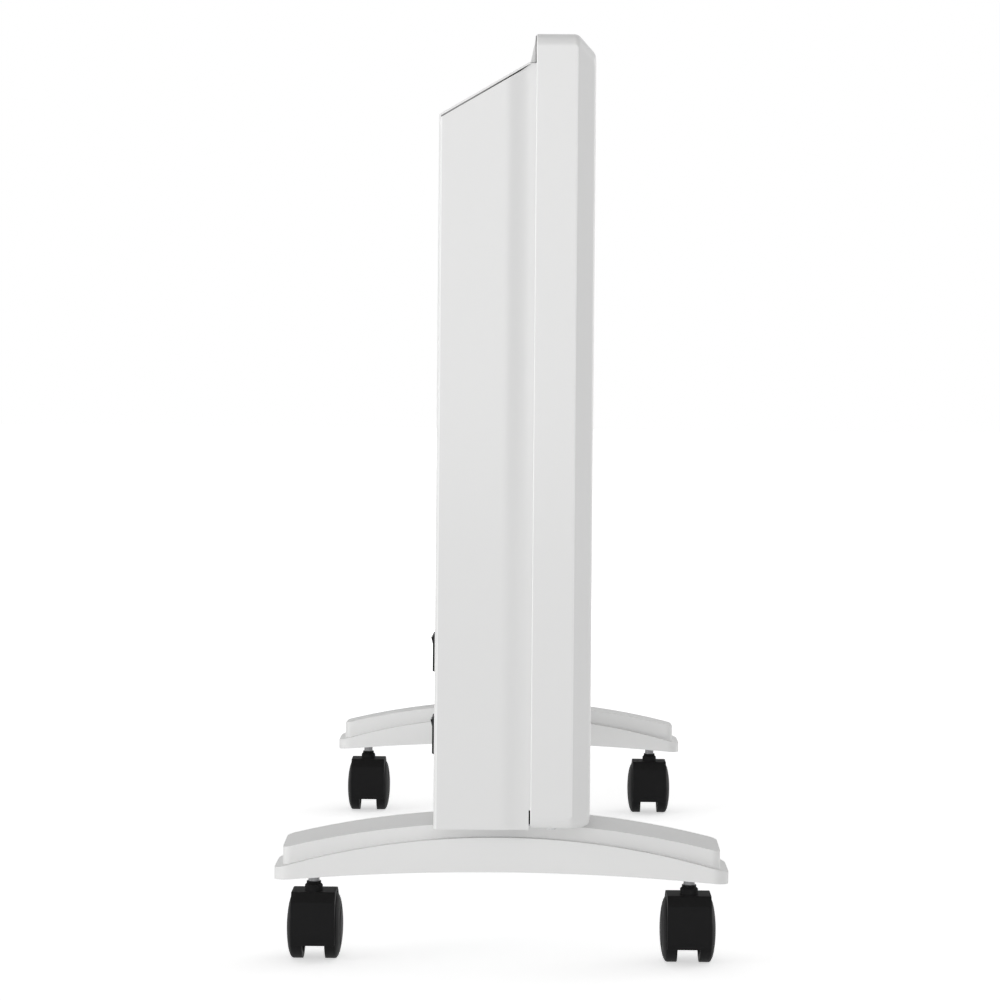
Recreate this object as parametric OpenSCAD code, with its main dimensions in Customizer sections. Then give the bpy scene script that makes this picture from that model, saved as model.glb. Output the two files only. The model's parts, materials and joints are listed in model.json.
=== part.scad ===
// Convector heater on two castored feet.
// X runs along the heater, the front panel faces -Y, and Z is up from the floor.
// The origin is on the floor, under the middle of the heater and of its feet.

/* [Body] */
// Length of the body
body_len = 600; // [560:10:900]
// Height of the body above its underside
body_h = 411; // [400:1:460]
// Underside of the body above the floor
body_floor = 79.6; // [79:0.2:90]
// Rear casing, from the back face to the seam
casing_d = 50; // [48:1:56]
// Panel flange, from the seam to the chamfer
flange_d = 21.5; // [20:0.5:28]
// Chamfer round the front panel
panel_chamfer = 9.5; // [6:0.5:11]
// Back face behind the centre line of the feet
back_y = 35; // [33:1:40]
// Slope of the casing's top sheet
slope_angle = 30.5; // [26:0.5:34]
// Height of the lip folded down from the panel's top
lip_h = 14.8; // [12:0.2:17]
// How far that lip leans back
lip_lean = 3.1; // [2:0.1:4]
// Corner radius of the drawn panel
corner_r = 7; // [5:1:10]
// Thickness of the casing sheets
sheet_t = 1; // [0.8:0.1:1.2]
// Outer radius of the casing's upright back bends
bend_r = 1.6; // [1.3:0.1:2]
// Gap left at a folded or lapped sheet edge
sheet_gap = 0.4; // [0.3:0.1:0.6]
// Width of the folded edge along the base
base_flange = 12; // [10:1:14]
// Joggle that lets the panel lie flush over the casing
joggle_len = 9; // [6:0.5:10]
// Lowered strip between the joggle and the seam
joggle_strip = 5; // [4:0.5:6]
// Overlap of casing and panel in front of the seam
overlap_len = 12; // [9:1:14]

/* [Outlet grille] */
// Outlet window, in from each end of the body
window_in = 50; // [40:5:80]
// Height of the outlet window
window_h = 46; // [40:1:50]
// Top of the window below the panel's top
window_drop = 20; // [18:1:24]
// Number of louvre blades
blade_count = 5; // [4:1:6]
// Chord of one blade
blade_chord = 12; // [10:0.5:13]
// Thickness of one blade
blade_t = 1.2; // [1:0.1:1.5]
// Tilt of the blades, front edge up
blade_tilt = 32; // [25:1:38]
// Bays between the upright bars
grille_bays = 10; // [8:1:12]
// Grille frame hidden behind the panel
grille_rim = 7; // [5:1:9]

/* [Base] */
// Length of one air slot
inlet_slot_len = 36; // [30:1:40]
// Width of one air slot
inlet_slot_w = 5; // [4:0.5:6]
// Rows of air slots
inlet_rows = 4; // [3:1:4]
// Metal left between two slots of a row
inlet_bridge = 7; // [5:1:10]
// Plain margin round the field of slots
inlet_margin = 7; // [5:1:12]

/* [Heating element] */
// Gap between the fins and a bay wall
element_gap = 14; // [10:1:20]
// Height of the element's axis above the base
element_up = 96; // [90:1:110]
// Distance of the element's axis in front of the back face
element_in = 39; // [37:1:41]
// Radius of the element's core
core_r = 8; // [7:0.5:9]
// Reach of a fin from the axis
fin_reach = 31; // [26:1:32]
// Thickness of a fin
fin_t = 2.2; // [1.8:0.1:2.6]
// Angle of a fin above the horizontal
fin_angle = 36; // [30:1:42]
// Pitch of the cuts along the fins
fin_pitch = 18; // [14:1:24]
// Radius of the sheathed heating rod
rod_r = 4; // [3.5:0.25:4.5]
// Width of the closed bay at each end of the body
bay_w = 88; // [84:1:100]

/* [Feet] */
// Centre line of a foot, in from the end of the body
foot_in = 50; // [45:1:80]
// Length of a foot across the heater
foot_len = 240; // [236:2:260]
// Width of the lower tier
foot_w = 44; // [42:1:50]
// Ledge between the tiers
foot_ledge = 4.5; // [3:0.5:5]
// Height of the ledge below the foot's top
foot_step = 8.8; // [8:0.2:11]
// Thickness of the foot in the middle
foot_h = 27; // [26:0.5:29]
// Radius of the arched top
foot_top_r = 474; // [460:2:520]
// Radius of the arched ledge
foot_ledge_r = 413; // [400:1:440]
// Radius of the arched underside
foot_low_r = 1260; // [1200:10:1600]
// Fall of the top towards the heater's end
foot_tilt = 2.5; // [1:0.5:3]
// Wall of the moulding
foot_wall = 2.6; // [2.4:0.1:3]
// Distance between the two screws of a foot
foot_screw_gap = 20; // [18:1:22]
// Thread radius of the foot screws
foot_screw_r = 2.5; // [2:0.25:3]

/* [Castors] */
// Distance between the two castor stems of a foot
castor_span = 200; // [196:2:204]
// Radius of a wheel
wheel_r = 17.5; // [17:0.25:18]
// Width of a wheel's tread
tread_w = 5.7; // [5.2:0.1:6]
// Bulge of a wheel's outer face
wheel_dome = 3.3; // [2.5:0.1:4]
// Gap between the two wheels
wheel_gap = 12; // [11.6:0.2:13]
// Axle behind the stem
castor_trail = 11; // [10.5:0.5:12]
// Radius of the axle
axle_r = 2; // [1.8:0.1:2.2]
// Radius of the stem
stem_r = 3; // [2.5:0.1:3]
// Depth of the stem in the foot
stem_seat = 13; // [11:0.5:14]
// Depth of the stem in the hood
stem_depth = 19; // [15:0.5:19]
// Thickness of the hood over the wheels
hood_t = 2.3; // [1.8:0.1:2.6]
// Hood's flat top above the wheels
hood_rise = 3; // [2.8:0.1:3.4]
// Lower edge of the hood above the floor
hood_low = 9.8; // [8:0.2:12]
// Collar on top of the hood
collar_h = 4.4; // [3.5:0.1:4.6]
// Radius of that collar
collar_r = 4.8; // [4.4:0.1:5.2]

/* [Controls] */
// Switches, from the left end
switch_in = 40; // [38:1:60]
// Lower switch above the base
switch_up = 44; // [40:1:48]
// Distance between the two switches
switch_pitch = 43.5; // [40:0.5:46]
// Height of a switch's rim
switch_h = 21; // [20.4:0.2:22]
// Width of a switch's rim
switch_w = 15; // [14.4:0.2:16]
// Thickness of a switch's rim
switch_rim = 2.1; // [1.9:0.1:2.3]
// Depth of the switch body behind the back wall
switch_d = 14; // [13:0.5:15]
// Radius of the rocker about its pivot
rocker_r = 8.8; // [8.4:0.1:9]
// Swing of the rocker
rocker_swing = 14; // [12:1:16]
// Depth of the rocker's pivot below the rim's face
rocker_sink = 2.6; // [2.5:0.1:2.8]
// Knob, from the right end
knob_in = 45; // [40:1:50]
// Knob above the base
knob_up = 66; // [62:1:74]
// Radius of the knob
knob_r = 18; // [16:0.5:19]
// Height of the knob
knob_h = 13; // [11:0.5:14]
// Grip flutes round the knob
knob_flutes = 18; // [14:1:20]
// Radius of the dial plate under the knob
dial_r = 25; // [23:0.5:27]
// Thickness of the dial plate
dial_t = 1.2; // [1:0.1:1.4]
// Radius of the thermostat's shaft
shaft_r = 3; // [2.8:0.1:3.2]

/* [Wall fixing] */
// Distance between the wall-fixing holes along the heater
fixing_span = 300; // [260:10:340]
// Distance between the wall-fixing holes in height
fixing_rise = 180; // [160:5:190]
// Upper holes above the base
fixing_up = 330; // [320:5:340]
// Radius of the wall-fixing holes
fixing_r = 2.75; // [2.25:0.25:3]

/* [Fits] */
// Radial clearance of a turning fit
run_fit = 0.05; // [0.03:0.01:0.08]
// Radial clearance of a seated pin
seat_fit = 0.02; // [0.02:0.01:0.04]
// Clearance of a piece that moves past another
move_gap = 0.3; // [0.3:0.05:0.5]

/* [Hidden] */
$fn = 64;
blend_fn = 32;

half_len = body_len / 2;
base_z = body_floor;
top_z = base_z + body_h;
seam_y = back_y - casing_d;
bend_y = seam_y - flange_d;
front_y = bend_y - panel_chamfer;
slope_top_y = seam_y + lip_lean;
slope_top_z = top_z - lip_h;
slope_low_z = slope_top_z - (back_y - slope_top_y) * tan(slope_angle);
lap_in = sheet_t + sheet_gap;
lap_end_y = seam_y - overlap_len;
joggle_end_y = seam_y + joggle_strip;
flat_end_y = joggle_end_y + joggle_len;
wall_drop = lap_in / cos(slope_angle);
slope_root = 4;
relief_w = 0.8;
relief_h = corner_r + 3;
panel_low_r = 3.5;
panel_bend_r = 4.5;

floor_z = base_z + sheet_t;
plate_z = floor_z + sheet_t;
plate_front_y = bend_y + sheet_gap;
plate_back_y = back_y - sheet_t;

window_len = body_len - 2 * window_in;
window_top = top_z - window_drop;
window_low = window_top - window_h;
blade_pitch = window_h / blade_count;
bar_t = 1.6;

element_y = back_y - element_in;
element_z = base_z + element_up;
bay_x = half_len - bay_w;
element_len = 2 * (bay_x - element_gap);
bay_t = 1.5;
bay_front_y = bend_y + 3;
bay_top_z = element_z + fin_reach;
shield_t = 0.8;
shield_y = bay_front_y - shield_t;
bush_r = 9;
bush_flange = 3;
rod_end = bay_x + 14;

foot_x = half_len - foot_in;
foot_top_z = base_z;
foot_low_z = foot_top_z - foot_h;
foot_r = 9;
ledge_z = foot_top_z - foot_step;
castor_y = castor_span / 2;
screw_mid_y = 2;
pad_r = 6;
rib_t = 1.6;
foot_rib_y = [for (part = [-0.7, -0.4, 0.4, 0.7]) part * castor_y];
screw_head_r = 4.6;
screw_head_h = 3;
nut_h = 4;
screw_head_z = foot_low_z + 9;

hood_w = wheel_gap + 2 * tread_w;
web_w = wheel_gap - 2 * move_gap;
hood_top = 2 * wheel_r + hood_rise;
collar_top = hood_top + collar_h;
wheel_w = tread_w + wheel_dome;
bore_depth = wheel_w - 1.6;
axle_half = wheel_gap / 2 + bore_depth - 0.2;
wheel_step = 0.5;
stem_low = collar_top - stem_depth;
stem_top = arch_z(foot_low_z, foot_low_r, castor_y) + stem_seat;

switch_x = -half_len + switch_in;
switch_low_z = base_z + switch_up;
switch_z = [switch_low_z + switch_pitch, switch_low_z];
switch_face_y = back_y + switch_rim;
pivot_y = switch_face_y - rocker_sink;
rocker_w = switch_w - 4.6;
rocker_pin_r = 1.4;
rocker_rise = 1.5;
rim_slope = 0.9;
tab_w = 4.8;
tab_t = 0.8;
tab_len = 7;
tab_step = 6;
knob_x = half_len - knob_in;
knob_z = base_z + knob_up;
dial_y = back_y + dial_t;
knob_y = dial_y + move_gap;
thermostat_d = 20;
thermostat_w = 38;
thermostat_h = 30;
shaft_in = 14;

screw_r = 1.75;
base_screw_in = 15;
base_screw_x = [-half_len + base_screw_in, -half_len / 3, half_len / 3, half_len - base_screw_in];
base_screw_y = [seam_y - flange_d / 2, back_y - base_flange / 2];
bay_foot = 14;
back_screw_low = 18;
back_screw_high = 22;
back_screw_places = [for (sx = [-1, 1], z = [element_z - back_screw_low, element_z + back_screw_high])
    [sx * (bay_x - bay_foot / 2), z]];
foot_screw_y = [screw_mid_y - foot_screw_gap / 2, screw_mid_y + foot_screw_gap / 2];
gland_in = 30;
gland_up = 26;
gland_x = half_len - gland_in;
gland_z = base_z + gland_up;
gland_r = 8;

wire_r = 1.5;
lead_r = 1;
wire_y = bay_front_y + 9;
wire_z = plate_z + 22;
tip_in = 26;
tip_reach = 6.6;
tip_x = -half_len + tip_in;
tip_y = wire_y + tip_reach;
tip_h = 30;
terminal_x = bay_x + bay_t + 10;
terminal_h = 16;

// Height at a distance y along an arch whose crown is at crown_z
function arch_z(crown_z, r, y) = crown_z - r + sqrt(r * r - y * y);

// Height of the casing's sloped top at a distance y
function slope_z(y) = slope_low_z + (back_y - y) * tan(slope_angle);

// A box given by its lowest and highest corners
module span(low, high) {
    translate(low) cube(high - low);
}

// A cylinder along +X, +Y or +Z from a point
module rod_x(p, r, len, r2 = undef) {
    translate(p) rotate([0, 90, 0]) cylinder(r1 = r, r2 = is_undef(r2) ? r : r2, h = len);
}
module rod_y(p, r, len, r2 = undef) {
    translate(p) rotate([-90, 0, 0]) cylinder(r1 = r, r2 = is_undef(r2) ? r : r2, h = len);
}
module rod_z(p, r, len, r2 = undef) {
    translate(p) cylinder(r1 = r, r2 = is_undef(r2) ? r : r2, h = len);
}

// A profile drawn in Y and Z, extruded along X from low_x to high_x
module along_x(low_x, high_x) {
    translate([low_x, 0, 0]) rotate([90, 0, 90]) linear_extrude(high_x - low_x) children();
}

// A rectangle with round corners, about its middle
module round_plan(w, h, r, fn) {
    square([w, h - 2 * r], center = true);
    square([w - 2 * r, h], center = true);
    for (sx = [-1, 1], sy = [-1, 1])
        translate([sx * (w / 2 - r), sy * (h / 2 - r)]) circle(r, $fn = fn);
}

// A round-ended slot along X, cut through from low_z to high_z
module slot_z(x, y, len, w, low_z, high_z) {
    span([x - len / 2 + w / 2, y - w / 2, low_z], [x + len / 2 - w / 2, y + w / 2, high_z]);
    for (end = [-1, 1]) rod_z([x + end * (len - w) / 2, y, low_z], w / 2, high_z - low_z);
}

// Rear casing: back wall, end walls with a joggle under the panel, and a sloped top
module end_wall() {
    far_x = half_len;
    lap_x = far_x - lap_in;
    // The flat wall as far as the joggle, its top edge just under the sloped sheet
    along_x(far_x - sheet_t, far_x) polygon([
        [back_y, base_z], [back_y, slope_z(back_y) - wall_drop],
        [flat_end_y, slope_z(flat_end_y) - wall_drop], [flat_end_y, base_z]]);
    // The joggle and the lowered strip, cut off along the same slope
    intersection() {
        translate([0, 0, base_z]) linear_extrude(body_h) polygon([
            [far_x, flat_end_y], [far_x - sheet_t, flat_end_y], [lap_x - sheet_t, joggle_end_y],
            [lap_x - sheet_t, seam_y], [lap_x, seam_y], [lap_x, joggle_end_y]]);
        along_x(0, body_len) polygon([
            [back_y, base_z], [back_y, slope_z(back_y) - wall_drop], [slope_top_y, slope_top_z - wall_drop],
            [seam_y, slope_top_z - wall_drop], [seam_y, base_z]]);
    }
    // The lap behind the panel's flange
    span([lap_x - sheet_t, lap_end_y, base_z], [lap_x, seam_y + sheet_gap, slope_top_z - wall_drop]);
    // The folded edge that carries the base plate
    span([far_x - base_flange, flat_end_y, base_z], [far_x, back_y, floor_z]);
}
module back_holes() {
    for (x = [-fixing_span / 2, fixing_span / 2], z = [fixing_up - fixing_rise, fixing_up])
        rod_y([x, back_y - sheet_t - 1, base_z + z], fixing_r, sheet_t + 2);
    for (z = switch_z)
        span([switch_x - switch_w / 2 + 1, back_y - 5, z - switch_h / 2 + 1],
            [switch_x + switch_w / 2 - 1, back_y + 1, z + switch_h / 2 - 1]);
    rod_y([knob_x, back_y - 5, knob_z], 5, 10);
    rod_y([gland_x, back_y - 5, gland_z], gland_r, 10);
    for (p = back_screw_places) rod_y([p[0], back_y - 5, p[1]], screw_r + run_fit, 10);
}
module back_bend() {
    // What is cut off outside the bend between back wall and end wall
    difference() {
        span([half_len - bend_r, back_y - bend_r, base_z - 1], [half_len + 1, back_y + 1, top_z]);
        rod_z([half_len - bend_r, back_y - bend_r, base_z - 2], bend_r, body_h + 4);
    }
}
module seam_relief() {
    // Cut that frees the lower end of the seam
    span([half_len - 2 * lap_in - sheet_t, lap_end_y - 1, base_z - 1],
        [half_len + 1, seam_y + relief_w, base_z + relief_h]);
}
module rear_casing() {
    slope_end = half_len - sheet_gap / 2;
    normal = sheet_t / cos(slope_angle);
    color("white") difference() {
        union() {
            span([-half_len, back_y - sheet_t, base_z], [half_len, back_y, slope_low_z]);
            along_x(-slope_end, slope_end) polygon([
                [back_y, slope_low_z - slope_root], [back_y, slope_low_z], [slope_top_y, slope_top_z],
                [slope_top_y, slope_top_z - normal], [back_y - sheet_t, slope_low_z - normal],
                [back_y - sheet_t, slope_low_z - slope_root]]);
            span([-half_len, back_y - base_flange, base_z], [half_len, back_y, floor_z]);
            end_wall();
            mirror([1, 0, 0]) end_wall();
        }
        back_holes();
        base_screw_holes(screw_r + run_fit);
        for (side = [0, 1]) mirror([side, 0, 0]) {
            back_bend();
            seam_relief();
        }
    }
}

// Front panel: a drawn pan with a chamfered front, a top lip and a bottom flange
module pan_outline(inset, cut, low, high) {
    skin_y = low - front_y - inset;
    low_r = panel_low_r - inset;
    rise = skin_y < low_r ? low_r - sqrt(low_r * low_r - (low_r - skin_y) * (low_r - skin_y)) : 0;
    width = 2 * (half_len - inset - cut);
    low_z = base_z + inset + rise;
    high_z = top_z - inset - cut;
    translate([0, high, (low_z + high_z) / 2]) rotate([90, 0, 0]) linear_extrude(high - low)
        round_plan(width, high_z - low_z, corner_r - inset, blend_fn);
}
module pan_solid(inset) {
    skin = 0.02;
    bend_in_y = bend_y + inset * tan(22.5);
    face_y = front_y + inset;
    r = panel_bend_r - inset;
    turn = r * tan(22.5);
    hull() {
        pan_outline(inset, 0, bend_in_y + turn, seam_y + inset);
        for (a = [15, 30, 45])
            pan_outline(inset, r * (1 - cos(a)), bend_in_y + turn - r * sin(a),
                bend_in_y + turn - r * sin(a) + skin);
        for (a = [45, 30, 15, 0])
            pan_outline(inset, panel_chamfer - inset * tan(22.5) + turn - r * sin(a),
                face_y + r * (1 - cos(a)), face_y + r * (1 - cos(a)) + skin);
        pan_outline(inset, panel_chamfer - panel_low_r, front_y + panel_low_r,
            front_y + panel_low_r + skin);
    }
}
module panel_lip() {
    lip_x = half_len - corner_r;
    lean = sheet_t * 1.02;
    along_x(-lip_x, lip_x) polygon([
        [seam_y, top_z], [seam_y - sheet_t, top_z], [seam_y - sheet_t, top_z - sheet_t],
        [slope_top_y - lean, slope_top_z], [slope_top_y, slope_top_z]]);
    // A tab folded in at each end of the lip
    for (end = [-lip_x, lip_x - sheet_t]) along_x(end, end + sheet_t) polygon([
        [seam_y, top_z - sheet_t / 2], [slope_top_y - sheet_t / 2, slope_top_z], [seam_y, slope_top_z]]);
}
module front_panel() {
    color("white") difference() {
        union() {
            difference() {
                pan_solid(0);
                pan_solid(sheet_t);
            }
            panel_lip();
        }
        span([-window_len / 2, front_y - 1, window_low], [window_len / 2, bend_y, window_top]);
        base_screw_holes(screw_r + run_fit);
    }
}

// Outlet grille: a frame behind the window, tilted blades and upright bars
module blade(z) {
    mid_y = front_y + blade_chord / 2 * cos(blade_tilt) + 0.4;
    translate([0, mid_y, z]) rotate([-blade_tilt, 0, 0])
        span([-window_len / 2 + 0.5, -blade_chord / 2, -blade_t / 2],
            [window_len / 2 - 0.5, blade_chord / 2, blade_t / 2]);
}
module outlet_grille() {
    low_x = -window_len / 2;
    frame_y = front_y + sheet_t;
    bar_d = blade_chord * cos(blade_tilt);
    color("whitesmoke") {
        difference() {
            span([low_x - grille_rim, frame_y, window_low - grille_rim],
                [-low_x + grille_rim, frame_y + 1.4, window_top + grille_rim]);
            span([low_x + 0.5, frame_y - 1, window_low + 0.5],
                [-low_x - 0.5, frame_y + 3, window_top - 0.5]);
        }
        for (i = [0 : blade_count - 1]) blade(window_low + (i + 0.5) * blade_pitch);
        for (i = [0 : grille_bays]) {
            x = low_x + 0.5 + bar_t / 2 + i * (window_len - 1 - bar_t) / grille_bays;
            span([x - bar_t / 2, front_y + 0.8, window_low + 0.4],
                [x + bar_t / 2, front_y + bar_d, window_top - 0.4]);
        }
    }
}

// Base plate: a tray with round-ended air slots, seated on the folded edges
module base_plate() {
    plate_x = half_len - corner_r - 2 * move_gap;
    upstand_h = 8;
    slot_pitch_x = inlet_slot_len + inlet_bridge;
    inlet_cols = floor((2 * bay_x - 2 * inlet_margin) / slot_pitch_x);
    slot_pitch_y = (plate_back_y - plate_front_y - 2 * inlet_margin) / inlet_rows;
    color("gainsboro") difference() {
        union() {
            span([-plate_x, plate_front_y, floor_z], [plate_x, plate_back_y, plate_z]);
            for (y = [plate_front_y, plate_back_y - sheet_t])
                span([-plate_x, y, floor_z], [plate_x, y + sheet_t, floor_z + upstand_h]);
        }
        for (i = [0 : inlet_cols - 1], j = [0 : inlet_rows - 1])
            slot_z((i - (inlet_cols - 1) / 2) * slot_pitch_x,
                plate_front_y + inlet_margin + (j + 0.5) * slot_pitch_y,
                inlet_slot_len, inlet_slot_w, floor_z - 1, plate_z + 1);
        for (sx = [-1, 1], y = foot_screw_y) rod_z([sx * foot_x, y, floor_z - 1], foot_screw_r + 0.1, 4);
        base_screw_holes(screw_r + seat_fit);
        for (p = back_screw_places) rod_y([p[0], plate_back_y - 5, p[1]], screw_r + run_fit, 10);
    }
}

// Screws through the folded edges under the body, and through the back wall
module base_screw_holes(r) {
    for (x = base_screw_x, y = base_screw_y) rod_z([x, y, base_z - 1], r, 2 * sheet_t + 2);
}
module casing_screws() {
    head_r = 3.4;
    head_h = 1.8;
    color("silver") {
        for (x = base_screw_x, y = base_screw_y) {
            difference() {
                rod_z([x, y, base_z - head_h], head_r * 0.75, head_h, head_r);
                span([x - head_r, y - 0.4, base_z - head_h - 1], [x + head_r, y + 0.4, base_z - 1]);
            }
            rod_z([x, y, base_z - 0.4], screw_r, 2 * sheet_t + 3);
        }
        for (p = back_screw_places) {
            rod_y([p[0], back_y, p[1]], head_r, head_h, head_r * 0.75);
            rod_y([p[0], back_y - sheet_t - bay_t - 2, p[1]], screw_r, sheet_t + bay_t + 2.4);
        }
    }
}

// Heating element: an X-section with cut fins round a bored core
module element_section() {
    circle(core_r);
    for (a = [fin_angle, 180 - fin_angle, 180 + fin_angle, -fin_angle]) rotate(a) {
        polygon([[core_r - 2, -fin_t], [fin_reach - 1, -fin_t / 2], [fin_reach - 1, fin_t / 2],
            [core_r - 2, fin_t]]);
        translate([fin_reach - fin_t * 0.6, 0]) circle(fin_t * 0.6);
    }
}
module heating_element() {
    cuts = floor(element_len / fin_pitch) - 1;
    color("silver") difference() {
        translate([0, element_y, element_z])
            along_x(-element_len / 2, element_len / 2) element_section();
        rod_x([-half_len, element_y, element_z], rod_r + seat_fit, body_len);
        for (i = [0 : cuts], side = [-1, 1]) {
            x = (i - cuts / 2) * fin_pitch;
            far = element_y + side * fin_reach;
            near = element_y + side * (core_r + 4);
            span([x - 1.5, min(far, near), element_z - fin_reach],
                [x + 1.5, max(far, near), element_z + fin_reach]);
        }
    }
}
module element_rod() {
    pin_r = 1.6;
    color("dimgray") {
        rod_x([-rod_end, element_y, element_z], rod_r, 2 * rod_end);
        for (sx = [-1, 1]) rod_x([sx * (rod_end + 5) - 5, element_y, element_z], pin_r, 10);
    }
}
module element_insulators() {
    hole = rod_r + seat_fit;
    color("ivory") for (sx = [-1, 1]) difference() {
        union() {
            rod_x([sx * bay_x - 6, element_y, element_z], bush_r - seat_fit, 12);
            rod_x([sx * (bay_x - bush_flange / 2) - bush_flange / 2, element_y, element_z],
                bush_r + 3, bush_flange);
        }
        rod_x([sx * bay_x - 10, element_y, element_z], hole, 20);
    }
}

// Bay wall: carries one end of the element and one edge of the heat shield
module element_bracket(side) {
    wall_x = side * (bay_x + bay_t / 2);
    foot_mid = side * (bay_x - bay_foot / 2 + bay_t);
    color("lightgray") difference() {
        union() {
            span([wall_x - bay_t / 2, bay_front_y, plate_z], [wall_x + bay_t / 2, plate_back_y, bay_top_z]);
            span([foot_mid - bay_foot / 2, plate_back_y - bay_t, floor_z + 8],
                [foot_mid + bay_foot / 2, plate_back_y, bay_top_z]);
            span([foot_mid - bay_foot / 2, bay_front_y, plate_z + 20],
                [foot_mid + bay_foot / 2, bay_front_y + bay_t, bay_top_z]);
        }
        rod_x([wall_x - 5, element_y, element_z], bush_r, 10);
        rod_x([wall_x - 5, wire_y, wire_z], 5, 10);
        for (p = back_screw_places) rod_y([p[0], plate_back_y - 5, p[1]], screw_r + seat_fit, 10);
        span([wall_x - 5, plate_back_y - 2 * bay_t, plate_z - 1], [wall_x + 5, back_y, floor_z + 8.4]);
    }
}
module element_bracket_left() {
    element_bracket(-1);
}
module element_bracket_right() {
    element_bracket(1);
}
module heat_shield() {
    shield_x = bay_x + bay_t;
    turn_z = window_low - grille_rim - 14;
    fold_y = front_y + 3;
    color("silver") along_x(-shield_x, shield_x) polygon([
        [shield_y, plate_z + 20], [shield_y, turn_z], [fold_y, turn_z + 9], [fold_y, turn_z + 12],
        [fold_y + shield_t, turn_z + 12], [fold_y + shield_t, turn_z + 9.4],
        [shield_y + shield_t, turn_z + 0.4], [shield_y + shield_t, plate_z + 20]]);
}

// Small electrical pieces in the two bays
module thermal_cutout() {
    wall = bay_x + bay_t;
    y = plate_back_y - 16;
    z = bay_top_z - 10;
    color("black") {
        rod_x([wall, y, z], 8, 5);
        for (dy = [-4, 4]) span([wall + 4, y + dy - 0.4, z - 3], [wall + 12, y + dy + 0.4, z + 3]);
    }
    color("silver") rod_x([wall, y, z], 11, 1);
}
module tip_over_switch() {
    top = plate_z + tip_h;
    color("black") {
        span([tip_x - 8, tip_y - 9, plate_z], [tip_x + 8, tip_y + 9, top]);
        for (y = [wire_y, 2 * tip_y - wire_y]) span([tip_x - 3, y - 0.4, top], [tip_x + 3, y + 0.4, top + 7]);
    }
}
module terminal_block() {
    x = terminal_x;
    way = 12;
    low_y = wire_y - way / 2;
    high_y = low_y + 3 * way;
    color("ivory") difference() {
        union() {
            span([x - 8, low_y, plate_z], [x + 8, high_y, plate_z + terminal_h - 6]);
            span([x - 4, low_y, plate_z + terminal_h - 6], [x + 4, high_y, plate_z + terminal_h]);
        }
        for (i = [0 : 2]) {
            rod_z([x, wire_y + i * way, plate_z + 6], 2.6, 20);
            rod_x([x - 10, wire_y + i * way, plate_z + 5], 1.8, 20);
        }
    }
}
module cable_gland() {
    rim_h = 3;
    color("black") difference() {
        union() {
            rod_y([gland_x, back_y, gland_z], gland_r + 3, rim_h, gland_r + 2);
            rod_y([gland_x, back_y + rim_h, gland_z], gland_r - 1, 4, gland_r - 2.4);
            rod_y([gland_x, back_y - 10, gland_z], gland_r - seat_fit, 10.5);
            rod_y([gland_x, back_y - sheet_t - 4, gland_z], gland_r + 2.4, 4, $fn = 6);
        }
        rod_y([gland_x, back_y - 20, gland_z], 4, 40);
    }
}
module thermostat_body() {
    hole = shaft_r + run_fit;
    color("dimgray") difference() {
        union() {
            span([knob_x - thermostat_w / 2, plate_back_y - thermostat_d, knob_z - thermostat_h / 2],
                [knob_x + thermostat_w / 2, plate_back_y - 3, knob_z + thermostat_h / 2]);
            rod_y([knob_x, plate_back_y - 3, knob_z], 9, 3);
            for (dx = [-11, 11])
                span([knob_x + dx - 3, plate_back_y - thermostat_d - 8, knob_z - 0.4],
                    [knob_x + dx + 3, plate_back_y - thermostat_d, knob_z + 0.4]);
        }
        rod_y([knob_x, plate_back_y - shaft_in, knob_z], hole, 30);
    }
}
module shaft_profile(r) {
    difference() {
        circle(r);
        translate([-r, r * 0.55]) square([2 * r, r]);
    }
}
module thermostat_shaft() {
    round_end = dial_y + move_gap;
    flat_len = knob_h - 4;
    color("silver") {
        rod_y([knob_x, plate_back_y - shaft_in + 0.4, knob_z], shaft_r,
            round_end + 1 - plate_back_y + shaft_in - 0.4);
        translate([knob_x, round_end + 1 + flat_len, knob_z]) rotate([90, 0, 0])
            linear_extrude(flat_len) shaft_profile(shaft_r);
    }
}
module thermostat_knob() {
    skirt = 2.4;
    color("black") difference() {
        union() {
            rod_y([knob_x, knob_y, knob_z], knob_r, skirt);
            rod_y([knob_x, knob_y, knob_z], knob_r - 2, knob_h - 1);
            rod_y([knob_x, knob_y + knob_h - 1, knob_z], knob_r - 2, 1, knob_r - 3);
        }
        for (i = [0 : knob_flutes - 1])
            translate([knob_x, knob_y, knob_z]) rotate([0, i * 360 / knob_flutes, 0])
                rod_y([knob_r - 1.1, skirt + 0.6, 0], 1.4, knob_h);
        rod_y([knob_x, knob_y - 1, knob_z], shaft_r + seat_fit, 2);
        translate([knob_x, knob_y + 1.2 + knob_h - 4, knob_z]) rotate([90, 0, 0])
            linear_extrude(knob_h - 3.2) shaft_profile(shaft_r + seat_fit);
        span([knob_x - 0.6, knob_y + knob_h - 0.8, knob_z + 5],
            [knob_x + 0.6, knob_y + knob_h + 1, knob_z + knob_r - 3.5]);
    }
}
module knob_dial() {
    color("whitesmoke") difference() {
        rod_y([knob_x, back_y, knob_z], dial_r, dial_t, dial_r - 0.6);
        rod_y([knob_x, back_y - 1, knob_z], 5, 4);
    }
}
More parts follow.
